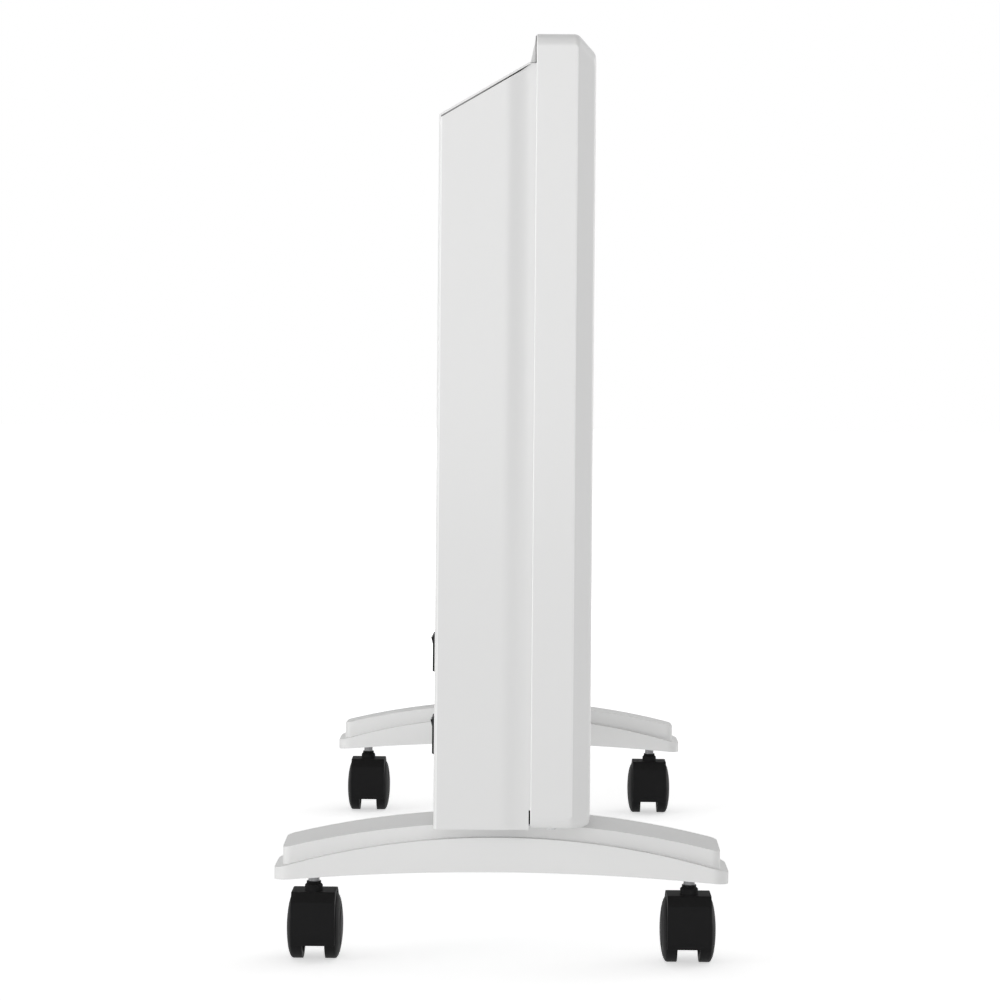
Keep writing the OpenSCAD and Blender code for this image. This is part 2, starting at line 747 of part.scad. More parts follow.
module sensor_bulb() {
    bulb_r = 3;
    bulb_len = 42;
    bulb_tail = 14;
    clip_h = 8;
    tube_r = 0.8;
    x = bay_x + bay_t + bulb_r + 1;
    y = bay_front_y + 4 * bulb_r;
    low = element_z - bulb_len / 2;
    tube_z = low - bulb_tail;
    color("peru") {
        rod_z([x, y, low], bulb_r, bulb_len);
        rod_z([x, y, tube_z], tube_r, bulb_tail + 0.5);
        rod_x([x, y, tube_z], tube_r, knob_x - x);
        translate([x, y, tube_z]) sphere(tube_r);
        translate([knob_x, y, tube_z]) sphere(tube_r);
        rod_y([knob_x, y, tube_z], tube_r, plate_back_y - thermostat_d - y);
    }
    color("silver") span([bay_x + bay_t, y - 2, element_z - clip_h], [x - 1, y + 2, element_z]);
}

// Rocker switch: a housing with a rim, and a rocker on two pins, its upper end out
module switch_bezel(z) {
    // The rim's four edges slope in towards its face
    intersection() {
        along_x(switch_x - switch_w / 2, switch_x + switch_w / 2) polygon([
            [back_y, z - switch_h / 2], [back_y, z + switch_h / 2],
            [switch_face_y, z + switch_h / 2 - rim_slope], [switch_face_y, z - switch_h / 2 + rim_slope]]);
        translate([0, 0, z - switch_h / 2]) linear_extrude(switch_h) polygon([
            [switch_x - switch_w / 2, back_y], [switch_x + switch_w / 2, back_y],
            [switch_x + switch_w / 2 - rim_slope, switch_face_y],
            [switch_x - switch_w / 2 + rim_slope, switch_face_y]]);
    }
}
module switch_housing(z) {
    cavity_h = rocker_r + move_gap;
    cavity_w = rocker_w / 2 + move_gap;
    inner_h = switch_h / 2 - 1 - sheet_gap / 2;
    inner_w = switch_w / 2 - 1 - sheet_gap / 2;
    color("black") difference() {
        union() {
            switch_bezel(z);
            span([switch_x - inner_w, back_y - switch_d, z - inner_h],
                [switch_x + inner_w, back_y, z + inner_h]);
            for (dz = [-tab_step, 0, tab_step])
                span([switch_x - tab_w / 2, back_y - switch_d - tab_len, z + dz - tab_t / 2],
                    [switch_x + tab_w / 2, back_y - switch_d, z + dz + tab_t / 2]);
        }
        span([switch_x - cavity_w, pivot_y - rocker_r + 2, z - cavity_h],
            [switch_x + cavity_w, switch_face_y + 1, z + cavity_h]);
        rod_x([switch_x - inner_w - 1, pivot_y, z], rocker_pin_r + run_fit, 2 * inner_w + 2);
    }
}
module rocker(z) {
    half = rocker_swing / 2;
    far = 2 * rocker_r;
    pin_end = rocker_w / 2 + move_gap + 0.8;
    color("black") translate([switch_x, pivot_y, z]) rotate([-half, 0, 0]) {
        difference() {
            rod_x([-rocker_w / 2, 0, 0], rocker_r, rocker_w);
            for (side = [-1, 1]) translate([0, rocker_rise, 0]) rotate([-side * half, 0, 0])
                span([-far, 0, min(0, side * far)], [far, far, max(0, side * far)]);
            span([-far, -far, -far], [far, -4, far]);
        }
        rod_x([-pin_end, 0, 0], rocker_pin_r, 2 * pin_end);
    }
}
module switch_housing_upper() {
    switch_housing(switch_z[0]);
}
module switch_housing_lower() {
    switch_housing(switch_z[1]);
}
module rocker_upper() {
    rocker(switch_z[0]);
}
module rocker_lower() {
    rocker(switch_z[1]);
}

// Wiring: insulated leads along the base, from bay to bay and up to the pieces they serve
module wire_end(p) {
    translate(p) sphere(wire_r + 0.3);
}
module wiring() {
    left_x = switch_x;
    right_x = bay_x + bay_t + 28;
    tab_y = back_y - switch_d - tab_len - wire_r;
    tip_wire_z = plate_z + tip_h + 12;
    color("saddlebrown") {
        rod_x([left_x, wire_y, wire_z], wire_r, right_x - left_x);
        rod_y([left_x, wire_y, wire_z], wire_r, tab_y - wire_y);
        rod_z([left_x, tab_y, wire_z], wire_r, switch_z[0] - tab_step - wire_z);
        rod_z([right_x, wire_y, wire_z], wire_r, knob_z - wire_z);
        rod_x([right_x, wire_y, knob_z], wire_r, knob_x - right_x);
        rod_z([terminal_x, wire_y, plate_z + 6.4], lead_r, wire_z - plate_z - 6.4);
        rod_z([left_x, wire_y, wire_z], lead_r, tip_wire_z - wire_z);
        rod_x([tip_x, wire_y, tip_wire_z], lead_r, left_x - tip_x);
        rod_z([tip_x, wire_y, plate_z + tip_h + 7], lead_r, tip_wire_z - plate_z - tip_h - 7);
        wire_end([left_x, wire_y, tip_wire_z]);
        wire_end([tip_x, wire_y, tip_wire_z]);
        wire_end([left_x, wire_y, wire_z]);
        wire_end([left_x, tab_y, wire_z]);
        wire_end([right_x, wire_y, wire_z]);
        wire_end([right_x, wire_y, knob_z]);
    }
}

// Foot: a two-tier arched moulding, hollow underneath, with bosses for screws and stems
module foot_plan(inset, high) {
    linear_extrude(high) round_plan(foot_w - 2 * inset, foot_len - 2 * inset, foot_r - inset, $fn);
}
module arch(r, crown_z, tilt) {
    translate([0, 0, crown_z]) rotate([0, tilt, 0]) translate([-foot_w, 0, -r])
        rotate([0, 90, 0]) cylinder(r = r, h = 2 * foot_w, $fn = 400);
}
module tiers(inset, drop) {
    tier_in = foot_ledge + inset;
    intersection() {
        foot_plan(inset, foot_top_z + 5);
        arch(foot_ledge_r, ledge_z - drop, 0);
    }
    intersection() {
        foot_plan(tier_in, foot_top_z + 5);
        arch(foot_top_r, foot_top_z - drop - foot_w / 2 * tan(foot_tilt), foot_tilt);
    }
}
module foot() {
    boss_r = stem_r + 4;
    color("white") difference() {
        union() {
            difference() {
                tiers(0, 0);
                tiers(foot_wall, foot_wall);
            }
            intersection() {
                tiers(0.4, 0.4);
                union() {
                    for (sy = [-1, 1]) rod_z([0, sy * castor_y, 0], boss_r, 200);
                    for (y = foot_screw_y) rod_z([0, y, 0], pad_r + 1, 200);
                    span([-rib_t / 2, -castor_y, foot_low_z], [rib_t / 2, castor_y, 200]);
                    for (y = foot_rib_y)
                        span([-foot_w / 2, y - rib_t / 2, foot_low_z], [foot_w / 2, y + rib_t / 2, 200]);
                }
            }
            for (y = foot_screw_y) rod_z([0, y, ledge_z], pad_r, floor_z - ledge_z);
        }
        translate([0, 0, foot_low_z]) rotate([0, 90, 0]) translate([foot_low_r, 0, -foot_w])
            cylinder(r = foot_low_r, h = 2 * foot_w, $fn = 400);
        for (sy = [-1, 1]) rod_z([0, sy * castor_y, 0], stem_r + seat_fit, stem_top + 0.4);
        for (y = foot_screw_y) {
            rod_z([0, y, 0], foot_screw_r + 0.1, 200);
            rod_z([0, y, 0], screw_head_r + 0.2, screw_head_z + screw_head_h);
        }
    }
}
module foot_left() {
    translate([-foot_x, 0, 0]) mirror([1, 0, 0]) foot();
}
module foot_right() {
    translate([foot_x, 0, 0]) foot();
}
module foot_screws() {
    seat_z = screw_head_z + screw_head_h;
    color("silver") for (sx = [-1, 1], y = foot_screw_y) {
        difference() {
            rod_z([sx * foot_x, y, screw_head_z], screw_head_r - 0.8, screw_head_h, screw_head_r);
            rod_z([sx * foot_x, y, screw_head_z - 1], 1.8, 2.6, $fn = 6);
        }
        rod_z([sx * foot_x, y, seat_z - 1], foot_screw_r, plate_z + nut_h + 2 - seat_z);
    }
}
module foot_nuts() {
    color("silver") for (sx = [-1, 1], y = foot_screw_y) difference() {
        rod_z([sx * foot_x, y, plate_z], foot_screw_r * 1.84, nut_h, $fn = 6);
        rod_z([sx * foot_x, y, plate_z - 1], foot_screw_r + seat_fit, nut_h + 2);
    }
}

// Castor: drawn round its stem axis, with the wheels trailing towards +X
module castor_stem() {
    color("silver") {
        rod_z([0, 0, stem_low], stem_r, stem_top - stem_low);
        rod_z([0, 0, collar_top + run_fit], stem_r + 0.9, 0.9);
    }
}
module castor_hood() {
    r_in = wheel_r + move_gap + 0.2;
    r_out = r_in + hood_t;
    low_x = castor_trail - r_out;
    color("dimgray") difference() {
        union() {
            intersection() {
                union() {
                    rod_y([castor_trail, -hood_w / 2, wheel_r], r_out, hood_w);
                    translate([0, hood_w / 2, 0]) rotate([90, 0, 0]) linear_extrude(hood_w) polygon([
                        [low_x, wheel_r], [low_x, hood_top - 5], [low_x + 4, hood_top],
                        [castor_trail - 1, hood_top], [castor_trail + 7, hood_top - 2.2],
                        [castor_trail, wheel_r]]);
                }
                translate([0, hood_w, 0]) rotate([90, 0, 0]) linear_extrude(2 * hood_w) polygon([
                    [low_x - 5, hood_low], [low_x - 5, hood_top], [castor_trail + 26, hood_top],
                    [castor_trail + 26, wheel_r + 15], [castor_trail - 2, hood_low]]);
            }
            rod_z([0, 0, hood_top - 0.5], collar_r, collar_h - 0.7);
            rod_z([0, 0, collar_top - 1.2], collar_r, 1.2, collar_r - 1.2);
        }
        for (side = [-1, 1])
            translate([castor_trail, side * (web_w / 2 + hood_w) - hood_w, wheel_r])
                rotate([-90, 0, 0]) cylinder(r = r_in, h = 2 * hood_w);
        rod_z([0, 0, stem_low - 0.4], stem_r + run_fit, 60);
        rod_y([castor_trail, -hood_w, wheel_r], axle_r + seat_fit, 2 * hood_w);
    }
}
module castor_axle() {
    color("silver") rod_y([castor_trail, -axle_half, wheel_r], axle_r, 2 * axle_half);
}
module castor_wheel() {
    dome_r = (wheel_r * wheel_r + wheel_dome * wheel_dome) / (2 * wheel_dome);
    face = wheel_gap / 2;
    color("black") difference() {
        union() {
            rod_y([castor_trail, face, wheel_r], wheel_r, tread_w);
            intersection() {
                translate([castor_trail, face + wheel_w - dome_r, wheel_r]) sphere(dome_r, $fn = 96);
                rod_y([castor_trail, face + tread_w - 1, wheel_r], wheel_r - wheel_step, wheel_dome + 2);
            }
        }
        difference() {
            rod_y([castor_trail, face + wheel_w - 1.9, wheel_r], 11.4, 4);
            rod_y([castor_trail, face + wheel_w - 3, wheel_r], 10.2, 6);
        }
        rod_y([castor_trail, face - 1, wheel_r], axle_r + run_fit, bore_depth + 1);
        difference() {
            rod_y([castor_trail, face - 1, wheel_r], wheel_r - 3, 3.4);
            rod_y([castor_trail, face - 2, wheel_r], axle_r + 3, 6);
        }
    }
}
module castor_wheel_a() {
    mirror([0, 1, 0]) castor_wheel();
}
module castor_wheel_b() {
    castor_wheel();
}
module place_castor(sx, sy) {
    translate([sx * foot_x, sy * castor_y, 0]) children();
}

rear_casing();
front_panel();
outlet_grille();
base_plate();
heat_shield();
heating_element();
element_rod();
element_insulators();
element_bracket_left();
element_bracket_right();
thermal_cutout();
tip_over_switch();
terminal_block();
cable_gland();
thermostat_body();
thermostat_shaft();
thermostat_knob();
knob_dial();
sensor_bulb();
switch_housing_upper();
switch_housing_lower();
rocker_upper();
rocker_lower();
wiring();
casing_screws();
foot_left();
foot_right();
foot_screws();
foot_nuts();
place_castor(-1, -1) castor_stem();  // castor_stem_left_front
place_castor(-1, -1) castor_hood();  // castor_hood_left_front
place_castor(-1, -1) castor_axle();  // castor_axle_left_front
place_castor(-1, -1) castor_wheel_a();  // castor_wheel_a_left_front
place_castor(-1, -1) castor_wheel_b();  // castor_wheel_b_left_front
place_castor(-1, 1) castor_stem();  // castor_stem_left_rear
place_castor(-1, 1) castor_hood();  // castor_hood_left_rear
place_castor(-1, 1) castor_axle();  // castor_axle_left_rear
place_castor(-1, 1) castor_wheel_a();  // castor_wheel_a_left_rear
place_castor(-1, 1) castor_wheel_b();  // castor_wheel_b_left_rear
place_castor(1, -1) castor_stem();  // castor_stem_right_front
place_castor(1, -1) castor_hood();  // castor_hood_right_front
place_castor(1, -1) castor_axle();  // castor_axle_right_front
place_castor(1, -1) castor_wheel_a();  // castor_wheel_a_right_front
place_castor(1, -1) castor_wheel_b();  // castor_wheel_b_right_front
place_castor(1, 1) castor_stem();  // castor_stem_right_rear
place_castor(1, 1) castor_hood();  // castor_hood_right_rear
place_castor(1, 1) castor_axle();  // castor_axle_right_rear
place_castor(1, 1) castor_wheel_a();  // castor_wheel_a_right_rear
place_castor(1, 1) castor_wheel_b();  // castor_wheel_b_right_rear
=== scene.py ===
import json
import math

import bmesh
import bpy
from mathutils import Matrix, Vector

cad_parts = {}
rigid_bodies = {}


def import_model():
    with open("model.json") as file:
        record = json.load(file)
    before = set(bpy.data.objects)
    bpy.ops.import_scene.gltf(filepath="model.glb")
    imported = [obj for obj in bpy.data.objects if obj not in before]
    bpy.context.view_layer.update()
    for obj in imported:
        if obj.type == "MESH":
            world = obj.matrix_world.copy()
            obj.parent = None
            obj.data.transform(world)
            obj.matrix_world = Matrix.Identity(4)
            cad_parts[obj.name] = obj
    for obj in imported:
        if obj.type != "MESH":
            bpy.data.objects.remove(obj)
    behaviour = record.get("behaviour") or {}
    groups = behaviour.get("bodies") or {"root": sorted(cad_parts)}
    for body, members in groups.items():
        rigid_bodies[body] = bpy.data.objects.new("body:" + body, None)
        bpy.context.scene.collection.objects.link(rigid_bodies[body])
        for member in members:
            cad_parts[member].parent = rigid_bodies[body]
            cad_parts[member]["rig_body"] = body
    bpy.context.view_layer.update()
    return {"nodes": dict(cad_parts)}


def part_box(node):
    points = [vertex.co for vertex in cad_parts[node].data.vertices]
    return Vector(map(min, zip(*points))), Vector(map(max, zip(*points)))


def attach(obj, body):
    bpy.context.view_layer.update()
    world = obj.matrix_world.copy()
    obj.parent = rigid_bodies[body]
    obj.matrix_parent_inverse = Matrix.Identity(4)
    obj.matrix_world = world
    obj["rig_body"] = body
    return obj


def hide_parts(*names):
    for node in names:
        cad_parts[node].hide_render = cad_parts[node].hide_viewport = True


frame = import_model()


# Base plate, bay walls and heat shield
# The heater's floor, the wall of each electrical bay and the shield behind the panel, cut and folded
# from zinc-plated sheet. The plate lies on the casing's folded edges; the walls are screwed to the back.

weld_gap = 0.00002
flat_within = math.radians(0.4)
corner_angle = math.radians(32)


def rounded(node, name, material, width=0.0002, segments=2):
    """A finer copy of one solid in its finish, with its edges rounded, or left sharp at width 0."""
    solid = frame["nodes"][node]
    mesh = solid.data.copy()
    mesh.name = name
    mesh.materials.clear()
    mesh.materials.append(material)
    skin = bmesh.new()
    skin.from_mesh(mesh)
    bmesh.ops.remove_doubles(skin, verts=skin.verts, dist=weld_gap)
    bmesh.ops.dissolve_degenerate(skin, dist=weld_gap, edges=skin.edges)
    bmesh.ops.dissolve_limit(skin, angle_limit=flat_within, verts=skin.verts, edges=skin.edges)
    for face in skin.faces:
        face.smooth = True
    for edge in skin.edges:
        edge.smooth = width > 0 or edge.calc_face_angle(0) < corner_angle
    skin.to_mesh(mesh)
    skin.free()
    piece = bpy.data.objects.new(name, mesh)
    bpy.context.scene.collection.objects.link(piece)
    if width > 0:
        bevel = piece.modifiers.new("rounded edges", "BEVEL")
        bevel.width = width
        bevel.segments = segments
        bevel.limit_method = "ANGLE"
        bevel.angle_limit = corner_angle
    flats = piece.modifiers.new("flat faces stay flat", "WEIGHTED_NORMAL")
    flats.mode = "FACE_AREA_WITH_ANGLE"
    flats.keep_sharp = True
    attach(piece, solid["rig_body"])
    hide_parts(node)
    return piece


def effect(name, inputs, outputs):
    """An empty node group with named float or colour sockets."""
    group = bpy.data.node_groups.new(name, "ShaderNodeTree")
    for label, kind, value in inputs:
        socket = group.interface.new_socket(name=label, in_out="INPUT", socket_type=kind)
        socket.default_value = value
    for label, kind in outputs:
        group.interface.new_socket(name=label, in_out="OUTPUT", socket_type=kind)
    return group, group.nodes.new("NodeGroupInput"), group.nodes.new("NodeGroupOutput")


def maths(group, operation, first, second):
    """One Math node whose inputs are sockets or plain numbers."""
    node = group.nodes.new("ShaderNodeMath")
    node.operation = operation
    for socket, value in zip(node.inputs, (first, second)):
        if isinstance(value, (int, float)):
            socket.default_value = value
        else:
            group.links.new(value, socket)
    return node.outputs[0]


# Grain: fine relief over the whole surface, the peel of a powder coat or the texture of a mould.
grain, given, result = effect(
    "surface grain",
    [("Scale", "NodeSocketFloat", 900.0), ("Softness", "NodeSocketFloat", 0.5)],
    [("Height", "NodeSocketFloat"), ("Mask", "NodeSocketFloat")])
place = grain.nodes.new("ShaderNodeTexCoord")
fine = grain.nodes.new("ShaderNodeTexNoise")
fine.inputs["Detail"].default_value = 3.0
coarse = grain.nodes.new("ShaderNodeTexNoise")
coarse.inputs["Scale"].default_value = 11.0
coarse.inputs["Detail"].default_value = 4.0
grain.links.new(place.outputs["Object"], fine.inputs["Vector"])
grain.links.new(place.outputs["Object"], coarse.inputs["Vector"])
grain.links.new(given.outputs["Scale"], fine.inputs["Scale"])
grain.links.new(given.outputs["Softness"], fine.inputs["Roughness"])
grain.links.new(fine.outputs["Fac"], result.inputs["Height"])
grain.links.new(coarse.outputs["Fac"], result.inputs["Mask"])

# Dust: what settles in loose patches on faces that look up, and a little of it on all others.
dust, given, result = effect(
    "settled dust",
    [("Colour", "NodeSocketColor", (0.5, 0.5, 0.5, 1)),
     ("Dust", "NodeSocketColor", (0.4, 0.38, 0.35, 1)),
     ("Amount", "NodeSocketFloat", 0.2)],
    [("Colour", "NodeSocketColor"), ("Cover", "NodeSocketFloat")])
place = dust.nodes.new("ShaderNodeTexCoord")
facing = dust.nodes.new("ShaderNodeNewGeometry")
split = dust.nodes.new("ShaderNodeSeparateXYZ")
patches = dust.nodes.new("ShaderNodeTexNoise")
patches.inputs["Scale"].default_value = 60.0
patches.inputs["Detail"].default_value = 5.0
blend = dust.nodes.new("ShaderNodeMix")
blend.data_type = "RGBA"
dust.links.new(place.outputs["Object"], patches.inputs["Vector"])
dust.links.new(facing.outputs["Normal"], split.inputs[0])
share_on_walls = 0.12
upward = maths(dust, "MAXIMUM", split.outputs["Z"], share_on_walls)
patchy = maths(dust, "MULTIPLY", upward, patches.outputs["Fac"])
cover = maths(dust, "MULTIPLY", patchy, given.outputs["Amount"])
dust.links.new(cover, blend.inputs["Factor"])
dust.links.new(given.outputs["Colour"], blend.inputs["A"])
dust.links.new(given.outputs["Dust"], blend.inputs["B"])
dust.links.new(blend.outputs["Result"], result.inputs["Colour"])
dust.links.new(cover, result.inputs["Cover"])
dust_dulling = 0.5


def finish(name, colour, roughness, grain_scale, grain_height, spread=0.03, dusty=0.1, metal=0.0,
           coat=0.0, shade=0.94, gloss=0.5, pattern=None):
    """A material: its colour varies a little, its grain lifts the surface, and dust lies on top."""
    material = bpy.data.materials.new(name)
    material.use_nodes = True
    tree = material.node_tree
    shader = tree.nodes["Principled BSDF"]
    shader.inputs["Metallic"].default_value = metal
    shader.inputs["Coat Weight"].default_value = coat
    shader.inputs["Coat Roughness"].default_value = 0.14
    shader.inputs["Specular IOR Level"].default_value = gloss
    relief = tree.nodes.new("ShaderNodeGroup")
    relief.node_tree = grain
    relief.inputs["Scale"].default_value = grain_scale
    tint = tree.nodes.new("ShaderNodeMix")
    tint.data_type = "RGBA"
    tint.inputs["A"].default_value = (*[channel * shade for channel in colour], 1)
    tint.inputs["B"].default_value = (*colour, 1)
    change = relief.outputs["Mask"]
    if pattern:
        marks = tree.nodes.new("ShaderNodeGroup")
        marks.node_tree = pattern
        change = marks.outputs["Mask"]
    tree.links.new(change, tint.inputs["Factor"])
    film = tree.nodes.new("ShaderNodeGroup")
    film.node_tree = dust
    film.inputs["Amount"].default_value = dusty
    tree.links.new(tint.outputs["Result"], film.inputs["Colour"])
    tree.links.new(film.outputs["Colour"], shader.inputs["Base Color"])
    sheen = maths(tree, "ADD", maths(tree, "MULTIPLY", change, spread * 2), roughness - spread)
    dulled = maths(tree, "ADD", sheen, maths(tree, "MULTIPLY", film.outputs["Cover"], dust_dulling))
    tree.links.new(dulled, shader.inputs["Roughness"])
    bump = tree.nodes.new("ShaderNodeBump")
    bump.inputs["Distance"].default_value = grain_height
    bump.inputs["Strength"].default_value = 0.6
    tree.links.new(relief.outputs["Height"], bump.inputs["Height"])
    tree.links.new(bump.outputs["Normal"], shader.inputs["Normal"])
    return material


# Spangle: the patchwork of grains on zinc-coated sheet.
spangle, given, result = effect("zinc spangle", [("Scale", "NodeSocketFloat", 190.0)],
                                [("Mask", "NodeSocketFloat")])
place = spangle.nodes.new("ShaderNodeTexCoord")
grains = spangle.nodes.new("ShaderNodeTexVoronoi")
tones = spangle.nodes.new("ShaderNodeSeparateColor")
spangle.links.new(place.outputs["Object"], grains.inputs["Vector"])
spangle.links.new(given.outputs["Scale"], grains.inputs["Scale"])
spangle.links.new(grains.outputs["Color"], tones.inputs["Color"])
spangle.links.new(tones.outputs["Red"], result.inputs["Mask"])

zinc_sheet = finish("zinc-plated sheet", (0.60, 0.61, 0.62), roughness=0.42, grain_scale=260,
                    grain_height=0.00003, spread=0.10, metal=0.85, dusty=0.15, shade=0.82,
                    pattern=spangle)
for node, name in (("base_plate", "slotted_base_plate"),
                   ("element_bracket_left", "left_bay_wall"),
                   ("element_bracket_right", "right_bay_wall"),
                   ("heat_shield", "folded_heat_shield")):
    rounded(node, name, zinc_sheet, segments=1)


# Heating element
# An aluminium X-section with cut fins round a sheathed rod, held at both ends by ceramic bushes.
# The fins keep their mill finish, and the sheath darkens in use.

fin_metal = finish("mill-finish aluminium", (0.70, 0.70, 0.71), roughness=0.36, grain_scale=500,
                   grain_height=0.00002, spread=0.06, metal=0.95, dusty=0.2)
rounded("heating_element", "finned_element", fin_metal, width=0.00015, segments=1)
sheath = finish("heat-darkened sheath", (0.26, 0.25, 0.25), roughness=0.45, grain_scale=700,
                grain_height=0.00002, metal=0.8)
rounded("element_rod", "sheathed_rod", sheath, width=0.0003)
ceramic = finish("unglazed ceramic", (0.80, 0.76, 0.67), roughness=0.75, grain_scale=1500,
                 grain_height=0.00004, spread=0.05)
rounded("element_insulators", "element_bushes", ceramic, width=0.0004)


# Electrical bays
# A ceramic terminal block, black mouldings for thermostat, overheat disc, tip-over switch and gland,
# a copper bulb, and sleeved leads. The back, the bay walls and the base plate hold them.

rounded("terminal_block", "terminal_strip", ceramic, width=0.0003)
black_moulding = finish("black moulding", (0.024, 0.024, 0.025), roughness=0.55, grain_scale=1300,
                        grain_height=0.00003, dusty=0.03, gloss=0.1)
for node, name in (("thermal_cutout", "overheat_disc"),
                   ("tip_over_switch", "tip_over_case"),
                   ("thermostat_body", "thermostat_case"),
                   ("cable_gland", "cable_inlet_gland")):
    rounded(node, name, black_moulding, width=0.0003)
capillary = finish("drawn copper", (0.62, 0.32, 0.19), roughness=0.32, grain_scale=300,
                   grain_height=0.00001, metal=0.9)
rounded("sensor_bulb", "bulb_and_capillary", capillary, width=0.0001)
lead_sleeve = finish("brown sleeving", (0.23, 0.13, 0.08), roughness=0.55, grain_scale=1600,
                     grain_height=0.00002)
rounded("wiring", "sleeved_leads", lead_sleeve, width=0.0001)


# Rear casing
# One folded steel sheet: the back, both ends with a joggle under the panel, and the sloped top.
# White powder coat, baked on, with the faint peel that such a coat has.

# Two places closer than a hair count as one.
hair = 0.0001
flat_end = -0.0010
joggle_end = -0.0100
shortest_fold = 0.3
# The order of the materials on a coated sheet: its coat, the painted shade and the painted highlight.
outside, painted_shade, highlighted = range(3)


def fold(piece, radius, segments, chosen, material=-1):
    """Rounds the edges that a test picks, as the press leaves them."""
    skin = bmesh.new()
    skin.from_mesh(piece.data)
    picked = [edge for edge in skin.edges if chosen(edge)]
    bmesh.ops.bevel(skin, geom=picked, offset=radius, offset_type="OFFSET", segments=segments,
                    profile=0.5, affect="EDGES", clamp_overlap=False, material=material)
    for face in skin.faces:
        face.smooth = True
    skin.to_mesh(piece.data)
    skin.free()


def upright(edge, depth):
    """True for a long upright edge at a given depth."""
    first, second = (vertex.co for vertex in edge.verts)
    stands = (first.xy - second.xy).length < hair and abs(first.z - second.z) > shortest_fold
    return stands and abs(first.y - depth) < 2 * hair


def inner_faces(piece, middle, material):
    """Gives the faces of a sheet that look towards the middle of the body the grey painted shade."""
    piece.data.materials.append(material)
    for face in piece.data.polygons:
        face.material_index = painted_shade if face.normal.dot(middle - face.center) > 0 else outside


powder_white = finish("white powder coat", (0.80, 0.80, 0.797), roughness=0.42, grain_scale=1100,
                      grain_height=0.00002, spread=0.02, dusty=0.03, coat=0.30, shade=0.985, gloss=0.4)
# Painted shade: a dark grey that stands in for the shade inside the body and in its slits and gaps.
painted_shade_grey = finish("grey painted shade", (0.22, 0.22, 0.22), roughness=0.60, grain_scale=1100,
                    grain_height=0.00002, spread=0.05, dusty=0.05)
casing = rounded("rear_casing", "folded_rear_casing", powder_white)
body_middle = Vector((0, -0.005, 0.28))
inner_faces(casing, body_middle, painted_shade_grey)
# The end walls stop short under the sloped sheet, which leaves a shut line along it, darkened with
# painted shade on the strip of wall inside it; in front of the sheet they reach up behind the panel's
# lip.
tilt = math.radians(30.5)
sheet_foot = Vector((0, -0.0119, 0.47464))
sheet_front = -0.0115
wall_top = 0.46775
lap_top = 0.47418
walls_from = 0.2974
lap_outside = 0.2988
flat_outside = 0.2997
shut_gap = 0.0004
lap_rise = 0.0012
square_on = 0.9
skin = bmesh.new()
skin.from_mesh(casing.data)
for vertex in skin.verts:
    x, y, z = vertex.co
    if abs(x) > walls_from and abs(z - wall_top + (y - flat_end) * math.tan(tilt)) < 1.5 * hair:
        vertex.co.z -= shut_gap
    if walls_from < abs(x) < lap_outside and y < sheet_front and abs(z - lap_top) < hair:
        vertex.co.z += lap_rise
ends = [face for face in skin.faces if abs(face.calc_center_median().x) > flat_outside]
cut_through = list(dict.fromkeys(part for face in ends for part in (*face.verts, *face.edges, face)))
bmesh.ops.bisect_plane(skin, geom=cut_through, plane_co=sheet_foot,
                       plane_no=(0, math.sin(tilt), math.cos(tilt)))
# The strip of end wall seen inside the shut line gets the grey painted shade.
for face in skin.faces:
    centre = face.calc_center_median()
    below = sheet_foot.z - (centre.y - sheet_foot.y) * math.tan(tilt) - centre.z
    at_end = abs(centre.x) > flat_outside and abs(face.normal.x) > square_on
    if at_end and hair < below < shut_gap + 2 * hair:
        face.material_index = painted_shade
skin.to_mesh(casing.data)
skin.free()
# The joggle leaves the wall in a tight fold and runs out under the panel in a wide one.
fold(casing, radius=0.0022, segments=5, chosen=lambda edge: upright(edge, flat_end))
fold(casing, radius=0.0038, segments=7, chosen=lambda edge: upright(edge, joggle_end))
# A painted highlight: a brighter white band where the sheet turns tightly and along its cut edges.
painted_highlight_coat = finish("painted highlight", (0.95, 0.95, 0.948), roughness=0.35, grain_scale=1100,
                   grain_height=0.00001, dusty=0.0, coat=0.3, shade=0.99)
end_zone = 0.2993
standing = 0.1


def bead(piece, low, high):
    """Gives a narrow upright band near both ends, between two depths, the painted highlight."""
    piece.data.materials.append(painted_highlight_coat)
    for face in piece.data.polygons:
        at_end = abs(face.center.x) > end_zone and abs(face.normal.z) < standing
        if at_end and low < face.center.y < high:
            face.material_index = highlighted


# A painted highlight on the rounded rear edges of both ends.
bead(casing, low=0.0332, high=0.0339)
plated_screw = finish("zinc-plated screw", (0.66, 0.66, 0.67), roughness=0.30, grain_scale=900,
                      grain_height=0.00001, spread=0.05, metal=0.95)
rounded("casing_screws", "casing_screw_set", plated_screw)


# Front panel and outlet grille
# The panel is a drawn steel pan with a chamfered front and a lip folded down behind its top.
# The grille is a separate louvred insert behind the window in the panel's face, white like it.

panel = rounded("front_panel", "drawn_front_panel", powder_white)
inner_faces(panel, body_middle, painted_shade_grey)
# The flange and the chamfer meet in a tight bend at both ends: the solid's wider one is drawn in.
half_length = 0.3
bend = Vector((half_length, -0.0365))
bend_front = -0.0379
bend_back = -0.0345
bend_foot = 0.086
bend_top = 0.484
chamfer_from = -0.0375
flange_inset = 0.0007
chamfer_inset = 0.0014
kept_width = 0.3
for vertex in panel.data.vertices:
    x, y, z = vertex.co
    inset = half_length - abs(x)
    curved = inset < flange_inset or (y < chamfer_from and inset < chamfer_inset)
    if curved and bend_foot < z < bend_top and bend_front < y < bend_back:
        drawn = bend + kept_width * (Vector((abs(x), y)) - bend)
        vertex.co = (math.copysign(drawn.x, x), drawn.y, z)
# A painted highlight along that tight bend.
bead(panel, low=-0.0366, high=-0.0363)
